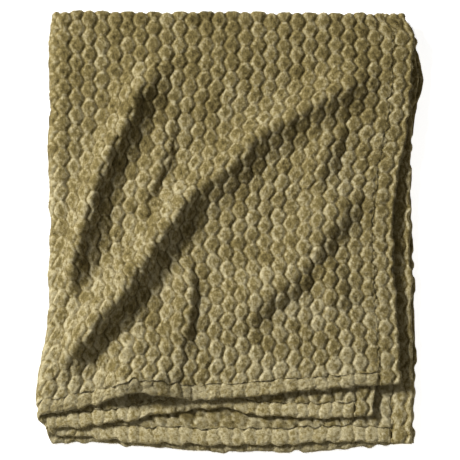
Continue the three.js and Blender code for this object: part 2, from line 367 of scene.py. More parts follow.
# Where the edges differ from those of the frame's layers. Each pair of numbers says where a change
# begins, as a distance from the middle of the throw, and over what distance it comes in.
CORNER_STEP = 0.015        # how far layers 3 and 4 lie inside the near left tip of layer 1
STEP_NEAR, STEP_LEFT = (0.292, 0.03), (0.20, 0.08)
STEP_BACK, STEP_BACK_NEAR = 1.5, (0.328, 0.05)      # how much of the step their near edge takes back
CORNER_FILL = 0.006        # how far their near edge bulges beside that step
FILL_NEAR, FILL_LEFT = (0.33, 0.02), (0.25, 0.05)
BESIDE_HEM = (0.2, 0.1)    # the part of the throw by the right hems
HEM_BULGE = 0.009          # how far layers 3 and 4 stick out there, near the far end
BULGE_PLACE, BULGE_SPAN = 0.255, 0.035
FAR_CORNER = 0.020         # how far the far right corner is rounded off
FAR_EDGE, FAR_CORNER_SPAN = 0.375, 0.045
# The folds: how far the left ones stick out, as a part of their radius; what each pair of folds
# loses of that where they cross, and over what part of its layers; and how uneven they are.
LEFT_REACH = 0.82
LEFT_LOSS, FAR_LOSS = (0.3, 0.02), (0.5, 0.03)
LEFT_FOLD_WAVES = ((2.0 * MM, 0.03, 1), (1.5 * MM, 0.08, 1))
FAR_FOLD_WAVES = ((1.0 * MM, 0.03, 1),)
NET = (240, 280)           # steps of the net that each layer is laid out on
EVEN_TURNS = 3             # for spreading the net of layer 1 evenly over its ridges
EDGE_TURNS = 6             # for finding x and y, which depend on each other along the edges
_nets = {}


def even_out(place, other, height, axis):
    """Spreads the net's lines evenly along the cloth itself, over its ridges, along one axis."""
    steps = np.sqrt(np.diff(place, axis=axis) ** 2 + np.diff(other, axis=axis) ** 2
                    + np.diff(height, axis=axis) ** 2)
    length = np.cumsum(steps, axis=axis)
    length = np.concatenate([np.zeros_like(np.take(length, [0], axis)), length], axis)
    length = length / np.take(length, [-1], axis)
    length = np.moveaxis(length, axis, 0)
    even = np.linspace(0, 1, length.shape[0])
    part = np.stack([np.interp(even, line, even) for line in length.reshape(len(even), -1).T], 1)
    return np.moveaxis(part.reshape(length.shape), 0, axis)


def net_of(layer):
    """A layer's x, y and lift on an even net over its cloth."""
    if layer in _nets:
        return _nets[layer]
    a, b = np.meshgrid(*(np.linspace(0, 1, n + 1) for n in NET), indexing="ij")
    turns = EVEN_TURNS if layer == 1 else 0
    for turn in range(turns + 1):
        x, y = np.zeros(a.shape), np.zeros(a.shape)
        for _ in range(EDGE_TURNS):
            x = LEFT[layer](y) + a * (RIGHT[layer](y) - LEFT[layer](y))
            y = FAR[layer](x) + b * (NEAR[layer](x) - FAR[layer](x))
        height = lift(layer, x, y)
        if turn < turns:
            at_a, at_b = even_out(x, y, height, 0) * NET[0], even_out(y, x, height, 1) * NET[1]
            a = np.stack([np.interp(at, np.arange(len(at)), old) for at, old in zip(at_a.T, a.T)], 1)
            b = np.stack([np.interp(at, np.arange(len(at)), old) for at, old in zip(at_b, b)], 0)
    _nets[layer] = np.stack([x, y, height], -1)
    return _nets[layer]


def on_net(layer, a, b):
    """A layer's x, y and lift at parts a and b of its width and length."""
    net = net_of(layer)
    i, j = np.clip(a, 0, 1) * NET[0], np.clip(b, 0, 1) * NET[1]
    i0, j0 = np.minimum(i.astype(int), NET[0] - 1), np.minimum(j.astype(int), NET[1] - 1)
    s, t = (i - i0)[..., None], (j - j0)[..., None]
    near = net[i0, j0] * (1 - s) + net[i0 + 1, j0] * s
    far = net[i0, j0 + 1] * (1 - s) + net[i0 + 1, j0 + 1] * s
    return near * (1 - t) + far * t


def shape_edges(place, lower):
    """Moves the edges of the layers in place, by the sizes above. lower is 1 on layers 3 and 4."""
    x, y = place[..., X], place[..., Y]
    step = past(-y, *STEP_NEAR) * past(-x, *STEP_LEFT)
    x += CORNER_STEP * step * lower * (1 - STEP_BACK * past(-y, *STEP_BACK_NEAR))
    y -= CORNER_FILL * lower * past(-x, *FILL_LEFT) * past(-y, *FILL_NEAR)
    beside_hem = past(x, *BESIDE_HEM)
    x += HEM_BULGE * beside_hem * lower * np.exp(-((y - BULGE_PLACE) / BULGE_SPAN) ** 2)
    x -= FAR_CORNER * beside_hem * (1 - smooth_step((FAR_EDGE - y) / FAR_CORNER_SPAN))


def drawn_in(part, loss, span):
    """What a fold loses of its reach, from how far it is to the crossing of the folds."""
    return loss * (1 - smooth_step(part / span))


def folded(u, w):
    """Where the middle of the cloth at u, w lies in the folded throw."""
    a = (np.abs(u) - LEFT_BEND) / (sizes().cloth_width / 2 - LEFT_BEND)
    b = (np.abs(w) - FAR_BEND) / (sizes().cloth_length / 2 - FAR_BEND)
    round_far = np.clip(w / FOLD_RADIUS, -math.pi / 2, math.pi / 2)
    round_left = np.clip(u / PAIR_RADIUS, -math.pi / 2, math.pi / 2)
    outer = ((1 + np.sin(round_far)) / 2)[..., None]
    top = on_net(1, a, b) * outer + on_net(2, a, b) * (1 - outer)
    bottom = on_net(4, a, b) * outer + on_net(3, a, b) * (1 - outer)
    upper = ((1 + round_left / (math.pi / 2)) / 2)[..., None]
    place = top * upper + bottom * (1 - upper)
    # layers 3 and 4 and the left folds, up to half-way round them, count as lower
    shape_edges(place, 1 - smooth_step(upper[..., 0] * 3 - 1.4))
    place[..., X] += add_noise(0, w, w * 0, LEFT_FOLD_WAVES, 81) * np.cos(round_left)
    place[..., Y] += add_noise(0, u, u * 0, FAR_FOLD_WAVES, 83) * np.cos(round_far)
    reach_left = LEFT_REACH - drawn_in(b, *LEFT_LOSS)
    reach_far = 1 - drawn_in(a, *FAR_LOSS)
    radius = PAIR_RADIUS + FOLD_RADIUS * np.sin(round_far)
    return np.stack([
        place[..., X] - radius * np.cos(round_left) * reach_left,
        place[..., Y] + FOLD_RADIUS * np.cos(round_far) * reach_far,
        STACK_MIDDLE + radius * np.sin(round_left) + place[..., Z],
    ], -1)


def surface_normals(points):
    """The direction that the outside of the cloth faces, for a grid of points over u and w."""
    return unit(np.cross(np.gradient(points, axis=1), np.gradient(points, axis=0)))


# ---- the honeycomb of tufts ----

STRAY_U = ((1.2 * MM, 0.03, 0.03), (1.5 * MM, 0.09, 0.12))      # of tufts from an even pattern
STRAY_W = ((1.5 * MM, 0.03, 0.03), (2.5 * MM, 0.1, 0.1))
SIDE_ROUNDING, END_ROUNDING = 6.2 * MM, 5.0 * MM                # over which a tuft rises
LEAN = 0.010               # of a tuft's height, that its top may slope by on each millimetre
TONE = 0.565               # of the pile as a whole, before the painted sheen and shade of a tuft's parts change it
# painted light: a sheen lightens the rims of tufts, and painted shade darkens their middles and the
# grooves beside them
PAINTED_RIM_SHEEN, PAINTED_CORE_SHADE, PAINTED_GROOVE_SHADE = 0.10, 0.16, 0.24
TUFTS_DIFFER = 0.14        # how far one tuft's tone may be from another's
GRAIN = ((0.15, 0.0022, 0.0045), (0.11, 0.005, 0.006))          # streaks and mottling in the tone
PATCHES = ((0.05, 0.05, 0.06),)
PAINTED_GRADIENT = 0.085             # how much painted light and shade change the tone over the throw, from the far folds to the near hems
FUZZ = ((0.35 * MM, 0.0022, 0.0022), (0.45 * MM, 0.0045, 0.0045), (0.35 * MM, 0.011, 0.011))


def soft_least(a, b, blend):
    """The smaller of two lengths, with the change from one to the other rounded."""
    h = np.clip(0.5 + 0.5 * (b - a) / blend, 0, 1)
    return b * (1 - h) + a * h - blend * h * (1 - h)


def painted_gradient(w):
    """Painted light and shade over the throw: the pile darker towards the far folds and lighter towards
    the near hems.
    """
    return PAINTED_GRADIENT * (4 * np.abs(w) / sizes().cloth_length - 1)


def honeycomb(u, w, seed):
    """The honeycomb at u, w: the height from 0 in a groove to 1, and the pile's tone, with painted
    light and shade in it.

    The tufts are long six-sided cushions in columns along w. Neighbouring columns are half a tuft
    out of step, and the grooves between columns zigzag round them.
    """
    s = sizes()
    across, along, swing = s.tuft_width, s.tuft_length, s.zigzag
    bent_u = add_noise(u, u, w, STRAY_U, seed)
    bent_w = add_noise(w, u, w, STRAY_W, seed + 2)

    def wave(column):
        """1 beside the middles of a column's tufts, and -1 beside their ends."""
        place = (bent_w / along + 0.5 * (column % 2)) % 1
        return 0.55 * (4 * np.abs(place - 0.5) - 1) + 0.45 * np.cos(2 * np.pi * place)

    left = np.floor(bent_u / across)
    groove = (left + 0.5) * across + swing * wave(left)
    column = np.where(bent_u < groove, left, left + 1)
    place = bent_w / along + 0.5 * (column % 2)
    row = np.round(place)
    from_middle_w = (place - row) * along
    from_middle_u = bent_u - column * across
    to_side = 0.92 * (across / 2 + swing * wave(column) - np.abs(from_middle_u))
    to_end = along / 2 - np.abs(from_middle_w)
    size, pick, lean_u, lean_w = (scatter(column, row, seed + k) for k in (5, 6, 7, 8))
    to_edge = soft_least(to_side, to_end * 1.1, 3 * MM) + 0.5 * MM * (size - 0.5)

    # the sides and ends rise half as a smooth step and half as a quarter of a circle
    side = np.clip(to_side / SIDE_ROUNDING, 0, 1)
    end = np.clip(to_end / END_ROUNDING, 0, 1)
    side, end = (0.5 * smooth_step(part) + 0.5 * np.sqrt(np.clip(1 - (1 - part) ** 2, 0, 1))
                 for part in (side, end))
    crown = 1 - 0.5 * (from_middle_u / (0.6 * across)) ** 2 - 0.5 * (from_middle_w / (0.6 * along)) ** 2
    joined = 0.64 + 0.28 * scatter(column, np.floor(place), seed + 9)
    height = side * (joined + (1 - joined) * end) * (0.72 + 0.28 * crown)
    height = height * (0.84 + 0.22 * size)
    height = height + LEAN / MM * ((lean_u - 0.5) * from_middle_u + (lean_w - 0.5) * from_middle_w)

    # painted sheen on the rims of the tufts, painted shade in their middles and down in their grooves
    sheen_rim = np.exp(-((to_edge - 3.0 * MM) / (2.4 * MM)) ** 2)
    shaded_core = np.exp(-(from_middle_u / (0.22 * across)) ** 2 - (from_middle_w / (0.27 * along)) ** 2)
    root = np.exp(-np.clip(to_side, 0, None) / (1.3 * MM))
    tone = TONE + PAINTED_RIM_SHEEN * sheen_rim - PAINTED_CORE_SHADE * shaded_core - PAINTED_GROOVE_SHADE * root + TUFTS_DIFFER * (pick - 0.5)
    tone = add_noise(tone, bent_u, bent_w, GRAIN, seed + 20)
    # then random patches, and painted light and shade that change along the throw
    tone = add_noise(tone, u, w, PATCHES, seed + 22) + painted_gradient(w)
    return np.clip(height, 0, 1.15), np.clip(tone, 0, 1)


def tuft_seed(outside):
    return 40 if outside else 140


def fuzz(u, w, seed):
    """The unevenness of the ends of the pile."""
    return add_noise(0, u, w, FUZZ, seed)


# ---- meshes ----

FLOOR_GAP = 0.2 * MM       # from the floor up to the lowest points of a piece
FLOOR_GIVE = 0.02          # what is left of the differences in height that are pressed flat there


def new_mesh(name, points, faces, uv, tone, material):
    """A piece from arrays: its points, its faces, its map and the pile's tone at each point.

    faces holds one array for each kind of face, with a column for each corner. What would reach
    below the floor is pressed flat on it.
    """
    points = np.array(points)
    above = points[:, Z] - CAD_LOW.z
    points[:, Z] = np.maximum(points[:, Z], CAD_LOW.z + FLOOR_GIVE * above + FLOOR_GAP)
    corners = np.concatenate([np.asarray(f, np.int32).ravel() for f in faces])
    sides = np.concatenate([np.full(len(f), f.shape[1], np.int32) for f in faces])
    starts = np.concatenate([[0], np.cumsum(sides)[:-1]])
    mesh = bpy.data.meshes.new(name)
    mesh.vertices.add(len(points))
    mesh.vertices.foreach_set("co", np.ascontiguousarray(points, np.float32).ravel())
    mesh.loops.add(len(corners))
    mesh.loops.foreach_set("vertex_index", corners)
    mesh.polygons.add(len(sides))
    mesh.polygons.foreach_set("loop_start", starts.astype(np.int32))
    mesh.polygons.foreach_set("loop_total", sides)
    mesh.polygons.foreach_set("use_smooth", np.ones(len(sides), bool))
    mesh.update(calc_edges=True)
    layer = mesh.uv_layers.new(name="OFBake")
    layer.uv.foreach_set("vector", np.ascontiguousarray(uv[corners], np.float32).ravel())
    shade = mesh.attributes.new("tone", "FLOAT", "POINT")
    shade.data.foreach_set("value", np.ascontiguousarray(tone, np.float32))
    mesh.materials.append(material)
    piece = bpy.data.objects.new(name, mesh)
    bpy.context.scene.collection.objects.link(piece)
    return piece


def grid_faces(rows, columns, start=0, flip=False):
    """Four-cornered faces of a grid whose points are numbered along its columns."""
    i, j = np.meshgrid(np.arange(rows - 1), np.arange(columns - 1), indexing="ij")
    first = start + i * columns + j
    quads = np.stack([first, first + 1, first + columns + 1, first + columns], -1).reshape(-1, 4)
    return quads[:, ::-1] if flip else quads


def spaced(stops):
    """Places through (place, spacing up to the next place) pairs, evenly spread between stops."""
    places = []
    for (start, spacing), (end, _) in zip(stops, stops[1:]):
        count = max(1, round(abs(end - start) / spacing))
        places.append(np.linspace(start, end, count, endpoint=False))
    return np.concatenate([*places, [stops[-1][0]]])


def bridge(fine, coarse_steps, coarse, flip):
    """Triangles between a row of points and another that has only some of its places."""
    faces = []
    for k in range(len(coarse) - 1):
        first, last = coarse_steps[k], coarse_steps[k + 1]
        middle = (first + last + 1) // 2
        faces += [(coarse[k], fine[i], fine[i + 1]) for i in range(first, middle)]
        faces.append((coarse[k], fine[middle], coarse[k + 1]))
        faces += [(coarse[k + 1], fine[i], fine[i + 1]) for i in range(middle, last)]
    faces = np.array(faces)
    return faces[:, ::-1] if flip else faces


# ---- materials ----

def new_material(name):
    """A new material, with its nodes, their links and its shader."""
    material = bpy.data.materials.new(name)
    material.use_nodes = True
    nodes = material.node_tree.nodes
    return material, nodes, material.node_tree.links, nodes["Principled BSDF"]


def shared_material(name, make):
    return bpy.data.materials.get(name) or make()


def add_bump(nodes, links, height, shader, strength, distance):
    bump = nodes.new("ShaderNodeBump")
    bump.inputs["Strength"].default_value = strength
    bump.inputs["Distance"].default_value = distance
    links.new(height, bump.inputs["Height"])
    links.new(bump.outputs["Normal"], shader.inputs["Normal"])


def pile_ramp(nodes):
    """The colours of the pile's tone, from the painted shade in its grooves to the painted sheen on its
    rims.
    """
    ramp = nodes.new("ShaderNodeValToRGB")
    middle = ramp.color_ramp.elements.new(0.5)
    first, last = ramp.color_ramp.elements[0], ramp.color_ramp.elements[-1]
    first.position, last.position = 0.1, 0.9
    first.color = (*colours().deep, 1)
    middle.color = (*colours().middle, 1)
    last.color = (*colours().light, 1)
    return ramp


def make_plush(shader):
    """Sets what the plush and its loose fibres have in common."""
    shader.inputs["Roughness"].default_value = 0.95
    shader.inputs["Specular IOR Level"].default_value = 0.12
    shader.inputs["Sheen Weight"].default_value = 0.12
    shader.inputs["Sheen Roughness"].default_value = 0.5
    shader.inputs["Sheen Tint"].default_value = (0.78, 0.74, 0.58, 1)


def plush_material():
    """Flannel fleece: its colour follows the tone of the pile, with the painted light and shade in it,
    fine grain and a soft sheen.
    """
    material, nodes, links, shader = new_material("plush_cloth")
    tone = nodes.new("ShaderNodeAttribute")
    tone.attribute_name = "tone"
    place = nodes.new("ShaderNodeTexCoord")
    grain = nodes.new("ShaderNodeTexNoise")
    grain.inputs["Scale"].default_value = 420
    grain.inputs["Detail"].default_value = 2
    links.new(place.outputs["Object"], grain.inputs["Vector"])
    # the grain goes from 0 to 1, so half of its share is taken off the tone first
    shift = nodes.new("ShaderNodeMath")
    shift.operation = "ADD"
    shift.inputs[1].default_value = -0.3
    links.new(tone.outputs["Fac"], shift.inputs[0])
    vary = nodes.new("ShaderNodeMath")
    vary.operation = "MULTIPLY_ADD"
    vary.inputs[1].default_value = 0.6
    links.new(grain.outputs["Fac"], vary.inputs[0])
    links.new(shift.outputs[0], vary.inputs[2])
    ramp = pile_ramp(nodes)
    links.new(vary.outputs[0], ramp.inputs["Fac"])
    links.new(ramp.outputs["Color"], shader.inputs["Base Color"])
    add_bump(nodes, links, grain.outputs["Fac"], shader, 0.5, 0.001)
    make_plush(shader)
    return material


def fibre_material():
    """Loose fibres: their map gives the tone across and the place along the fibre upwards."""
    material, nodes, links, shader = new_material("loose_fibres")
    place = nodes.new("ShaderNodeUVMap")
    place.uv_map = "OFBake"
    apart = nodes.new("ShaderNodeSeparateXYZ")
    links.new(place.outputs["UV"], apart.inputs["Vector"])
    ramp = pile_ramp(nodes)
    links.new(apart.outputs["X"], ramp.inputs["Fac"])
    links.new(ramp.outputs["Color"], shader.inputs["Base Color"])
    make_plush(shader)
    return material


def thread_material():
    """Twisted thread, in two shades of its colour."""
    material, nodes, links, shader = new_material("sewing_thread")
    twist = nodes.new("ShaderNodeTexWave")
    twist.inputs["Scale"].default_value = 300
    twist.inputs["Distortion"].default_value = 1.5
    place = nodes.new("ShaderNodeTexCoord")
    links.new(place.outputs["Object"], twist.inputs["Vector"])
    ramp = nodes.new("ShaderNodeValToRGB")
    dark, light = ramp.color_ramp.elements
    dark.color = (*(0.7 * c for c in colours().thread), 1)
    light.color = (*(1.2 * c for c in colours().thread), 1)
    links.new(twist.outputs["Fac"], ramp.inputs["Fac"])
    links.new(ramp.outputs["Color"], shader.inputs["Base Color"])
    add_bump(nodes, links, twist.outputs["Fac"], shader, 0.4, 0.0003)
    shader.inputs["Roughness"].default_value = 0.7
    return material


def floor_material():
    material, _, _, shader = new_material("studio_floor")
    shader.inputs["Base Color"].default_value = (0.92, 0.92, 0.92, 1)
    shader.inputs["Roughness"].default_value = 0.9
    shader.inputs["Specular IOR Level"].default_value = 0.1
    shader.inputs["Emission Color"].default_value = (1, 1, 1, 1)
    shader.inputs["Emission Strength"].default_value = 0.85
    return material


# ---- the cloth ----

# Distances between points of the cloth: on layers that show whole, where others may show, and
# where they can't, across and along the throw
FINE, SHOWN, HIDDEN, WIDE = 1.5 * MM, 2.2 * MM, 5.0 * MM, 8.0 * MM
EDGE_BAND = 0.10           # of the lower layers, beside their hems, that may show
LEFT_BAND, FAR_BAND = 0.03, 0.02       # and beside their folds
LINING_EVERY = (2, 4)      # the lining has only every second point over u and fourth over w
OUTSIDE_MAP, LINING_MAP = (0.21, 0.997), (0.003, 0.2)
WANDER = ((2.6 * MM, 0.012, 1), (1.2 * MM, 0.005, 1))
WANDER_REACH = 0.012       # of the cloth beside a seam that strays with it
SEAM_HEIGHT = 3.9 * MM     # from the middle of the cloth to its face, in a seam
SEAM_VARIES, SEAM_SPAN = 0.35, 0.011        # how much of that height comes and goes, and over what
SEAM_WIDTH = 3 * MM        # over which the cloth rises out of a seam
LEAST_HEIGHT = 0.3 * MM    # of a face, wherever it is
PILE_MOST = 0.8 * MM       # that the ends of the pile may stand above the tufts


def wander(along):
    """How far a seam strays from a straight line."""
    return add_noise(0, along, along * 0, WANDER, 71)


def face_height(u, w, outside, seams):
    """How far one face of the cloth is from its middle, and the pile's tone there."""
    seed = tuft_seed(outside)
    height, tone = honeycomb(u, w, seed)
    low, high = sizes().groove_height, sizes().tuft_height
    rise = low + (high - low) * height + fuzz(u, w, seed + 30) * np.clip(height * 2, 0.2, 1)
    u_seam, w_seam = seams
    to_seam = np.minimum(u_seam - np.abs(u), w_seam - np.abs(w))
    tuck = np.sqrt(np.clip(to_seam / SEAM_WIDTH, 0, 1))
    seam = SEAM_HEIGHT * (1 + SEAM_VARIES * noise(u / SEAM_SPAN, w / SEAM_SPAN, 90))
    rise = seam + (rise - seam) * tuck
    return np.clip(rise, LEAST_HEIGHT, high + PILE_MOST), tone


def spread(rows, columns, low, high):
    """The places of a grid on the map, from low to high up it."""
    across, up = np.meshgrid(np.linspace(0.003, 0.997, rows), np.linspace(low, high, columns),
                             indexing="ij")
    return np.stack([across, up], -1).reshape(-1, 2)


class THROW_OT_cloth(bpy.types.Operator):
    """Makes the cloth, from hem to hem, with its honeycomb on both faces"""
    bl_idname = "throw.cloth"
    bl_label = "Cloth"

    def execute(self, context):
        s = sizes()
        seams = u_seam, w_seam = s.cloth_width / 2 - s.right_hem, s.cloth_length / 2 - s.near_hem
        us = spaced([(-u_seam, SHOWN), (-u_seam + EDGE_BAND, HIDDEN), (-LEFT_BAND, SHOWN), (0, FINE),
                     (u_seam, 0)])
        ws = spaced([(-w_seam, SHOWN), (-w_seam + EDGE_BAND, WIDE), (-FAR_BAND, FINE), (w_seam, 0)])
        every_u, every_w = LINING_EVERY
        keep_u = np.unique([*range(0, len(us), every_u), len(us) - 1])
        shown_w = np.flatnonzero(ws < -w_seam + EDGE_BAND)
        keep_w = np.unique([*shown_w, *range(shown_w[-1], len(ws), every_w), len(ws) - 1])
        u, w = np.meshgrid(us, ws, indexing="ij")
        part_u, part_w = (np.maximum((np.abs(at) - seam + WANDER_REACH) / WANDER_REACH, 0)
                          for at, seam in ((u, u_seam), (w, w_seam)))
        u, w = (u + np.sign(u) * part_u * (1 - part_w) * wander(w),
                w + np.sign(w) * part_w * (1 - part_u) * wander(u))
        middle = folded(u, w)
        normal = surface_normals(middle)
        rise, tone = face_height(u, w, True, seams)
        outside = middle + normal * rise[..., None]
        pick = np.ix_(keep_u, keep_w)
        lining_rise, lining_tone = face_height(u[pick], w[pick], False, seams)
        lining = middle[pick] - normal[pick] * lining_rise[..., None]

        size, own_size = (len(us), len(ws)), (len(keep_u), len(keep_w))
        index = np.arange(len(us) * len(ws)).reshape(size)
        own = index.size + np.arange(len(keep_u) * len(keep_w)).reshape(own_size)
        faces = [
            grid_faces(*size),
            grid_faces(*own_size, index.size, flip=True),
            bridge(index[0], keep_w, own[0], True),
            bridge(index[-1], keep_w, own[-1], False),
            bridge(index[:, 0], keep_u, own[:, 0], False),
            bridge(index[:, -1], keep_u, own[:, -1], True),
        ]
        uv = np.vstack([spread(*size, *OUTSIDE_MAP), spread(*own_size, *LINING_MAP)])
        points = np.vstack([outside.reshape(-1, 3), lining.reshape(-1, 3)])
        tones = np.concatenate([tone.ravel(), lining_tone.ravel()])
        cloth = new_mesh("cloth", points, faces, uv, tones,
                         shared_material("plush_cloth", plush_material))
        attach(cloth, "root")
        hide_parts(*[f"layer_{n}" for n in LAYERS], "far_fold_layers_1_2",
                    "far_fold_layers_3_4", "left_fold_layers_1_4", "left_fold_layers_2_3")
        return {"FINISHED"}


# ---- the hems ----

class THROW_OT_hems(bpy.types.Operator):
    """Makes the four hems, each from one corner of the cloth round a fold to another"""
    bl_idname = "throw.hems"
    bl_label = "Hems"

    def execute(self, context):
        s = sizes()
        half_width, half_length = s.cloth_width / 2, s.cloth_length / 2
        for side, layers, pair in ((1, (1, 2), "1_2"), (-1, (4, 3), "3_4")):
            hem = make_hem(f"right_hem_{pair}", "u", side * half_width, s.right_hem, half_length)
            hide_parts(*[f"right_hem_layer_{n}" for n in layers],
                        f"right_hem_fold_layers_{pair}")
        reach = half_width - s.right_hem
        for side, layers, pair in ((1, (1, 4), "1_4"), (-1, (2, 3), "2_3")):
            hem = make_hem(f"near_hem_{pair}", "w", side * half_length, s.near_hem, reach)
            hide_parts(*[f"near_hem_layer_{n}" for n in layers],
                        f"near_hem_fold_layers_{pair}")
        return {"FINISHED"}


HEM_SPACING = 1.7 * MM
HEM_ROUNDING = 6 * MM       # over which its outer edge rolls under
HEM_SEAM_ROUNDING = 5 * MM  # over which it rises out of the seam
HEM_SEAM_LOW, HEM_SEAM_RISE = 0.80, 0.20    # parts of its full height: in the seam, and that rise
HEM_LOW = 0.22              # height of its deepest grooves, as a part of its tufts'
HEM_FADE = 8 * MM           # over which its straying ends, and its waves begin
HEM_WAVE, HEM_WAVE_SPAN = 3.2 * MM, 0.014   # how far its outer edge goes in and out
HEM_STRIPS = 12             # that it is cut into, to lie side by side on the map
HEM_SWELL, HEM_MOST = 0.5 * MM, 1.4 * MM    # that its tufts, and its pile, may stand above the layer
RIB_HEIGHT, RIB_ACROSS, RIB_ALONG = 0.7 * MM, 0.006, 0.03   # of its uneven ribs
LUMP_TONE = 0.55            # of a near hem's lumps, as a whole
LUMP_STRAY = ((5 * MM, 0.035, 1),)          # how far a lump is from its even place
LUMP_SKEW = ((4 * MM, 0.018, 0.010),)       # and how much it is bent
LUMP_GRAIN = ((1, 0.004, 0.004), (1, 0.002, 0.002))


def hem_shape(to_outer, to_seam, to_end):
    """The part of its full height that a hem has, from how far it is to its sides and its end."""
    def rolled(distance, over):
        return np.sqrt(np.clip(1 - (1 - np.clip(distance / over, 0, 1)) ** 2, 0, 1))
    seam_side = HEM_SEAM_LOW + HEM_SEAM_RISE * rolled(to_seam, HEM_SEAM_ROUNDING)
    return rolled(to_outer, HEM_ROUNDING) * seam_side * rolled(to_end, HEM_ROUNDING)


def hem_lumps(along, to_outer, seed):
    """The relief of a near hem, 0 to 1, and its tone, with painted light and shade in it: one row of
    uneven, rounded cushions.
    """
    period = sizes().tuft_width
    bent = add_noise(along, along, along * 0, LUMP_STRAY, seed + 1)
    bent = add_noise(bent, along, to_outer, LUMP_SKEW, seed + 6)
    number = np.round(bent / period)
    pick, lean = scatter(number, number * 0, seed + 2), scatter(number, number * 0, seed + 3)
    from_middle = bent - number * period
    across = to_outer / sizes().near_hem - 0.45 - 0.3 * (lean - 0.5)
    round_side = (from_middle / (0.56 * period)) ** 2 + (across / 0.72) ** 2
    height = np.sqrt(np.clip(1 - round_side, 0, 1))
    height = 0.95 * height * (0.88 + 0.36 * (pick - 0.5)) + 16 * (lean - 0.5) * from_middle
    # painted sheen on the rims of the lumps, painted shade down between them, and the lighter near end
    # of the painted gradient along the throw
    sheen_rim = np.exp(-((round_side - 0.75) / 0.3) ** 2)
    root = np.clip(round_side - 0.95, 0, 0.8)
    mottle = add_noise(0, along, to_outer, LUMP_GRAIN, seed + 4)
    tone = LUMP_TONE + PAINTED_GRADIENT + 0.07 * sheen_rim - 0.38 * root + 0.10 * (lean - 0.5) + 0.12 * mottle
    return np.clip(height, 0, 1.1), tone


def make_hem(name, axis, edge, width, reach):
    """One hem: a closed band between its seam and the cloth's edge, with tufts all round.

    A right hem goes across the u axis at edge, and a near hem across the w axis.
    """
    on_right = axis == "u"
    outward = math.copysign(1, edge)
    steps = np.linspace(0, 1, round(width / HEM_SPACING) + 1)
    inset = width * (0.5 * steps + 0.5 * (1 - np.cos(np.pi * steps / 2)))
    line = np.linspace(-reach, reach, round(2 * reach / HEM_SPACING) + 1)
    across, along = np.meshgrid(edge - outward * inset[::-1], line, indexing="ij")
    u, w = (across, along) if on_right else (along, across)
    to_outer, to_end = np.abs(edge - across), reach - np.abs(along)
    stray = outward * (to_outer / width) * smooth_step(to_end / HEM_FADE) * wander(along)
    middle = folded(u + stray, w) if on_right else folded(u, w + stray)
    normal = surface_normals(middle) * (1 if on_right else -1)
    waves = HEM_WAVE * noise(u / HEM_WAVE_SPAN, w / HEM_WAVE_SPAN, 60)
    waves = waves * np.clip(1 - to_outer / HEM_FADE, 0, 1)
    middle = middle + unit(np.gradient(middle, axis=0)) * waves[..., None]
    shape = hem_shape(to_outer, width - to_outer, to_end)
    halves = []
    for outside, sign in ((True, 1), (False, -1)):
        seed = tuft_seed(outside)
        height, tone = honeycomb(u, w, seed) if on_right else hem_lumps(u, to_outer, seed)
        rib = 0.5 + 0.5 * noise((to_outer - width) / RIB_ACROSS, along / RIB_ALONG, seed + 50)
        rise = (THICK / 2 + HEM_SWELL) * (HEM_LOW + (1 - HEM_LOW) * height) * shape
        rise = rise + (RIB_HEIGHT * rib + fuzz(u, w, seed + 33)) * np.clip(shape * 2, 0, 1)
        rise = np.clip(rise, 0, THICK / 2 + HEM_MOST) * (to_outer != 0)
        # painted shade: the tone is darker where the hem rolls under at its edge, dips into its seam
        # and ends
        halves.append((middle + sign * normal * rise[..., None], tone - 0.15 * (1 - shape)))
    # the ring runs from the seam along the outside to the edge, and back along the lining
    ring, tones = (np.concatenate([outer, lining[-2::-1]]) for outer, lining in zip(*halves))
    rows, columns = ring.shape[:2]
    index = np.arange(rows * columns).reshape(rows, columns)
    close = np.stack([index[-1, :-1], index[-1, 1:], index[0, 1:], index[0, :-1]], -1)
    faces = [grid_faces(rows, columns), close]
    half = (rows + 1) // 2
    for end, flip in ((0, False), (-1, True)):
        a, b = index[:half, end], index[::-1, end][:half]
        cap = np.stack([a[:-2], b[:-2], b[1:-1], a[1:-1]], -1)
        tip = np.array([[a[half - 2], b[half - 2], a[half - 1]]])
        faces += [cap[:, ::-1], tip[:, ::-1]] if flip else [cap, tip]
    if on_right == (outward < 0):
        faces = [f[:, ::-1] for f in faces]
    across, along = np.meshgrid(np.linspace(0, 1, rows), np.linspace(0, 1, columns), indexing="ij")
    lane = np.minimum((along * HEM_STRIPS).astype(int), HEM_STRIPS - 1)
    uv = np.stack([along * HEM_STRIPS - lane, (lane + 0.04 + 0.92 * across) / HEM_STRIPS], -1)
    hem = new_mesh(name, ring.reshape(-1, 3), faces, uv.reshape(-1, 2), tones.ravel(),
                   shared_material("plush_cloth", plush_material))
    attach(hem, "root")
    return hem


# ---- the stitches ----

STITCH_LENGTH = 3.5 * MM
STITCH_STEPS = 4            # along one stitch
STITCH_RISE = 1.8 * MM      # from the middle of the cloth to the top of a stitch
STITCH_AHEAD = 1.5 * MM     # how far ahead the way of a row is read
THREAD_RADIUS = 0.45 * MM
THREAD_SIDES = 6


class THROW_OT_stitches(bpy.types.Operator):
    """Makes the four rows of stitches, in the grooves beside the hems"""
    bl_idname = "throw.stitches"
    bl_label = "Stitches"

    def execute(self, context):
        s = sizes()
        u_seam = s.cloth_width / 2 - s.right_hem
        w_seam = s.cloth_length / 2 - s.near_hem
        for side, pair in ((1, "1_2"), (-1, "3_4")):
            row = make_stitches(f"right_stitches_{pair}", w_seam,
                                lambda t: (t * 0 + side * u_seam, t))
            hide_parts(f"right_stitches_layers_{pair}")
        for side, layers in ((1, (1, 4)), (-1, (2, 3))):
            row = make_stitches(f"near_stitches_{layers[0]}_{layers[1]}", u_seam,
                                lambda t: (t, t * 0 + side * w_seam))
            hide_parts(*[f"near_stitches_layer_{n}" for n in layers])
        return {"FINISHED"}


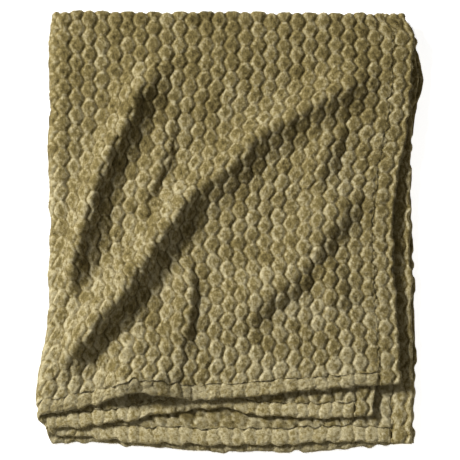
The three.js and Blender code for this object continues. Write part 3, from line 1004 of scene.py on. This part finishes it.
def make_stitches(name, reach, path):
    """Two threads locked together, one on each face of the cloth, along a path of u and w."""
    steps = STITCH_STEPS * round(2 * reach / STITCH_LENGTH) + 1
    along = np.linspace(-reach, reach, steps)
    (u, w), (next_u, next_w) = path(along), path(along + STITCH_AHEAD)
    centre = folded(u, w)
    forward = folded(next_u, next_w) - centre
    aside = folded(u + (next_w - w), w - (next_u - u)) - centre
    normal = unit(np.cross(forward, aside))
    aside = unit(np.cross(normal, forward))
    wave = np.abs(np.sin(np.pi * np.arange(steps) / STITCH_STEPS))[:, None]
    turn = np.linspace(0, 2 * np.pi, THREAD_SIDES, endpoint=False)[None, :, None]
    points, faces = [], []
    for k, face in enumerate((1, -1)):
        line = centre + face * normal * (STITCH_RISE - THREAD_RADIUS) * (0.1 + 0.9 * wave)
        points.append(line[:, None] + THREAD_RADIUS * (np.cos(turn) * aside[:, None]
                                                       + np.sin(turn) * normal[:, None]))
        ring = (k * steps + np.arange(steps)[:, None]) * THREAD_SIDES + np.arange(THREAD_SIDES)
        beside = np.roll(ring, -1, axis=1)
        faces.append(np.stack([ring[:-1], ring[1:], beside[1:], beside[:-1]], -1).reshape(-1, 4))
        faces += [ring[:1], ring[-1:, ::-1]]
    uv = np.stack([np.tile(np.arange(THREAD_SIDES) / THREAD_SIDES, 2 * steps),
                   np.repeat(np.linspace(0, 1, 2 * steps), THREAD_SIDES)], -1)
    row = new_mesh(name, np.concatenate(points).reshape(-1, 3), faces, uv, np.full(len(uv), 0.5),
                   shared_material("sewing_thread", thread_material))
    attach(row, "root")
    return row


# ---- the loose fibres of the pile ----

HEMS = ("right_hem_1_2", "right_hem_3_4", "near_hem_1_4", "near_hem_2_3")
PILE_PARTS = 3              # that the pile on the cloth is made in, from left to right
FIBRE_WIDTH = 0.34 * MM
FIBRE_ROOT = 0.4 * MM       # how deep a fibre starts below the surface
FIBRE_TONE = 0.10           # how much lighter a fibre is than the cloth that it grows on
FIBRES_DIFFER = 0.12
LAY = (0.35, -0.55, 0.0)    # the way that the pile leans
PILE_REACH = 9 * MM         # how far under the layer above it the pile goes on
CLEAR_START, CLEAR_WAY = 2.5 * MM, 0.03     # a fibre grows where this much of its way out is free


def read(items, name, width=1, kind=np.float32):
    """One value, or a row of them, for each item of a mesh."""
    values = np.empty(len(items) * width, kind)
    items.foreach_get(name, values)
    return values.reshape(-1, width) if width > 1 else values


def triangles_of(piece):
    """The corners, normals and tones of a piece's triangles, and their areas."""
    mesh = piece.data
    mesh.calc_loop_triangles()
    corners = read(mesh.loop_triangles, "vertices", 3, np.int32)
    points, normals = read(mesh.vertices, "co", 3), read(mesh.vertices, "normal", 3)
    tone = read(mesh.attributes["tone"].data, "value")
    return points[corners], normals[corners], tone[corners], read(mesh.loop_triangles, "area")


def may_show(place, normal):
    """Whether a face may show, from its place and the way that it faces; 2 means that it does."""
    x, y, z = place.T
    top = (z > height_of(1) - 0.5 * MM) & (normal[:, 2] > 0.15)
    beyond = ((x > np.minimum(RIGHT[1](y), RIGHT[2](y)) - PILE_REACH)
              | (y < np.maximum(NEAR[1](x), NEAR[2](x)) + PILE_REACH)
              | (x < LEFT[1](y) + PILE_REACH / 2) | (y > FAR[1](x) - PILE_REACH / 2))
    under = (z < 2.5 * MM) & (normal[:, 2] < -0.4)
    return np.where(top, 2, np.where(beyond & ~under, 1, 0))


def grow_fibres(pieces, rng):
    """Roots, directions and tones of the fibres on whatever shows of some pieces."""
    blockers = [bpy.data.objects[name] for name in ("cloth", *HEMS)]
    roots, leans, tones = [], [], []
    for piece in pieces:
        points, normals, tone, area = triangles_of(piece)
        shown = may_show(points.mean(1), normals.mean(1))
        weight = np.cumsum(area * (shown > 0))
        count = int(weight[-1] * 1e4 * sizes().pile_count)
        pick = np.searchsorted(weight, rng.random(count) * weight[-1])
        part = np.sort(rng.random((count, 2)), axis=1)
        part = np.stack([part[:, 0], part[:, 1] - part[:, 0], 1 - part[:, 1]], 1)
        place = (points[pick] * part[..., None]).sum(1)
        normal = unit((normals[pick] * part[..., None]).sum(1))
        keep = shown[pick] == 2
        for k in np.flatnonzero(~keep):
            start, way = Vector(place[k] + CLEAR_START * normal[k]), Vector(normal[k])
            keep[k] = not any(b.ray_cast(start, way, distance=CLEAR_WAY)[0] for b in blockers)
        roots.append(place[keep])
        leans.append(normal[keep])
        # the fibres take the cloth's tone, with its painted light and shade
        tones.append((tone[pick] * part).sum(1)[keep])
    return np.concatenate(roots), np.concatenate(leans), np.concatenate(tones)


def make_fibres(name, roots, normals, tones, rng):
    """A piece with a thin triangle for each fibre."""
    count = len(roots)
    lay = np.array(LAY) + 0.5 * rng.standard_normal((count, 3))
    lay = lay - (lay * normals).sum(1, keepdims=True) * normals
    way = unit(0.55 * normals + 0.8 * lay)
    aside = unit(np.cross(way, rng.standard_normal((count, 3))))
    length = sizes().pile_length * rng.uniform(0.6, 1.2, (count, 1))
    width = FIBRE_WIDTH / 2 * rng.uniform(0.7, 1.3, (count, 1))
    foot = roots - FIBRE_ROOT * normals
    points = np.stack([foot - aside * width, foot + aside * width, foot + way * length], 1)
    tone = np.clip(tones + FIBRES_DIFFER * rng.standard_normal(count) + FIBRE_TONE, 0.04, 0.96)
    # a fibre is a tiny triangle on the map, at its own tone
    uv = np.stack([np.stack([tone + across, np.full(count, up)], -1)
                   for across, up in ((-0.002, 0.40), (0.002, 0.40), (0, 0.44))], 1)
    pile = new_mesh(name, points.reshape(-1, 3), [np.arange(count * 3).reshape(-1, 3)],
                    uv.reshape(-1, 2), np.repeat(tone, 3),
                    shared_material("loose_fibres", fibre_material))
    # it is lit as the cloth under it, and only a little as a face of its own
    own = unit(np.cross(points[:, 1] - points[:, 0], points[:, 2] - points[:, 0]))
    own = own * np.where((own * normals).sum(1, keepdims=True) < 0, -1, 1)
    shade = unit(0.9 * normals + 0.15 * own)
    pile.data.normals_split_custom_set_from_vertices(np.repeat(shade, 3, 0).tolist())
    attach(pile, "root")
    return pile


class THROW_OT_pile(bpy.types.Operator):
    """Makes the fibres that stand clear of the tufts, wherever they show"""
    bl_idname = "throw.pile"
    bl_label = "Pile"

    def execute(self, context):
        rng = np.random.default_rng(11)
        roots, normals, tones = grow_fibres([bpy.data.objects["cloth"]], rng)
        order = np.argsort(roots[:, 0])
        for k, part in enumerate(np.array_split(order, PILE_PARTS)):
            make_fibres(f"pile_{k + 1}", roots[part], normals[part], tones[part], rng)
        roots, normals, tones = grow_fibres([bpy.data.objects[name] for name in HEMS], rng)
        make_fibres("pile_on_hems", roots, normals, tones, rng)
        return {"FINISHED"}


class THROW_OT_record(bpy.types.Operator):
    """A last step, which does nothing"""
    bl_idname = "throw.record"
    bl_label = "Record"

    def execute(self, context):
        return {"FINISHED"}


# ---- the stage ----

PICTURE_WIDTH = 0.787         # metres across the picture at the throw
CAMERA_DISTANCE = 3.2
CAMERA_ELEVATION = math.radians(80)
AIM = Vector((0.0005, -0.0012, 0))
SENSOR = 36
FLOOR_REACH = 8.0             # from the middle of the floor to its sides
FLOOR_DROP = 0.5 * MM         # of the floor below the throw
KEY_PLACE, KEY_SIZE, KEY_AIM = (-3.7, 2.25, 3.25), 1.3, (0, 0, 0)
NEAR_PLACE, NEAR_SIZE, NEAR_AIM = (-0.6, -1.6, 0.9), 1.0, (0, -0.3, 0)


def aimed(piece, at):
    piece.rotation_euler = (Vector(at) - piece.location).to_track_quat("-Z", "Y").to_euler()


def add_lamp(name, power, place, size, at):
    """A round lamp that points at a place."""
    light = bpy.data.lights.new(name, "AREA")
    light.shape, light.size, light.energy = "DISK", size, power
    lamp = bpy.data.objects.new(name, light)
    lamp.location = place
    bpy.context.scene.collection.objects.link(lamp)
    aimed(lamp, at)


class THROW_OT_stage(bpy.types.Operator):
    """Adds the floor, the lights and the camera"""
    bl_idname = "throw.stage"
    bl_label = "Stage"

    def execute(self, context):
        scene, stage = context.scene, context.scene.throw_stage
        mesh = bpy.data.meshes.new("floor")
        corners = [(x * FLOOR_REACH, y * FLOOR_REACH, CAD_LOW.z - FLOOR_DROP)
                   for x, y in ((-1, -1), (1, -1), (1, 1), (-1, 1))]
        mesh.from_pydata(corners, [], [(0, 1, 2, 3)])
        mesh.materials.append(floor_material())
        floor = bpy.data.objects.new("floor", mesh)
        scene.collection.objects.link(floor)

        add_lamp("key", stage.key, KEY_PLACE, KEY_SIZE, KEY_AIM)
        add_lamp("near", stage.near, NEAR_PLACE, NEAR_SIZE, NEAR_AIM)
        world = bpy.data.worlds.new("studio")
        world.use_nodes = True
        light = world.node_tree.nodes["Background"]
        light.inputs["Color"].default_value = (1, 0.96, 0.87, 1)
        light.inputs["Strength"].default_value = stage.fill
        scene.world = world
        scene.view_settings.view_transform = "Standard"

        camera = bpy.data.cameras.new("camera")
        camera.sensor_width = SENSOR
        camera.lens = SENSOR * CAMERA_DISTANCE / PICTURE_WIDTH
        eye = bpy.data.objects.new("camera", camera)
        eye.location = AIM + CAMERA_DISTANCE * Vector(
            (0, -math.cos(CAMERA_ELEVATION), math.sin(CAMERA_ELEVATION)))
        scene.collection.objects.link(eye)
        aimed(eye, AIM)
        scene.camera = eye
        return {"FINISHED"}


class THROW_PT_panel(bpy.types.Panel):
    """Lists the steps that build the throw"""
    bl_label = "Folded throw"
    bl_idname = "THROW_PT_panel"
    bl_space_type = "VIEW_3D"
    bl_region_type = "UI"
    bl_category = "Throw"

    def draw(self, context):
        scene = context.scene
        for group in (scene.throw_sizes, scene.throw_colours, scene.throw_stage):
            box = self.layout.box()
            for name in group.bl_rna.properties.keys():
                if name not in ("rna_type", "name"):
                    box.prop(group, name)
        for step in STEPS:
            self.layout.operator(step.bl_idname)


GROUPS = (("throw_sizes", ThrowSizes), ("throw_colours", ThrowColours), ("throw_stage", ThrowStage))
STEPS = (THROW_OT_stage, THROW_OT_cloth, THROW_OT_hems, THROW_OT_stitches, THROW_OT_pile,
         THROW_OT_record)
CLASSES = (*(group for _, group in GROUPS), *STEPS, THROW_PT_panel)


def register():
    for each in CLASSES:
        bpy.utils.register_class(each)
    for name, group in GROUPS:
        setattr(bpy.types.Scene, name, PointerProperty(type=group))


def unregister():
    for name, _ in GROUPS:
        delattr(bpy.types.Scene, name)
    for each in reversed(CLASSES):
        bpy.utils.unregister_class(each)


def main():
    register()
    bpy.ops.throw.stage()
    bpy.ops.throw.cloth()
    bpy.ops.throw.hems()
    bpy.ops.throw.stitches()
    bpy.ops.throw.pile()
    bpy.ops.throw.record()


if __name__ == "__main__":
    main()
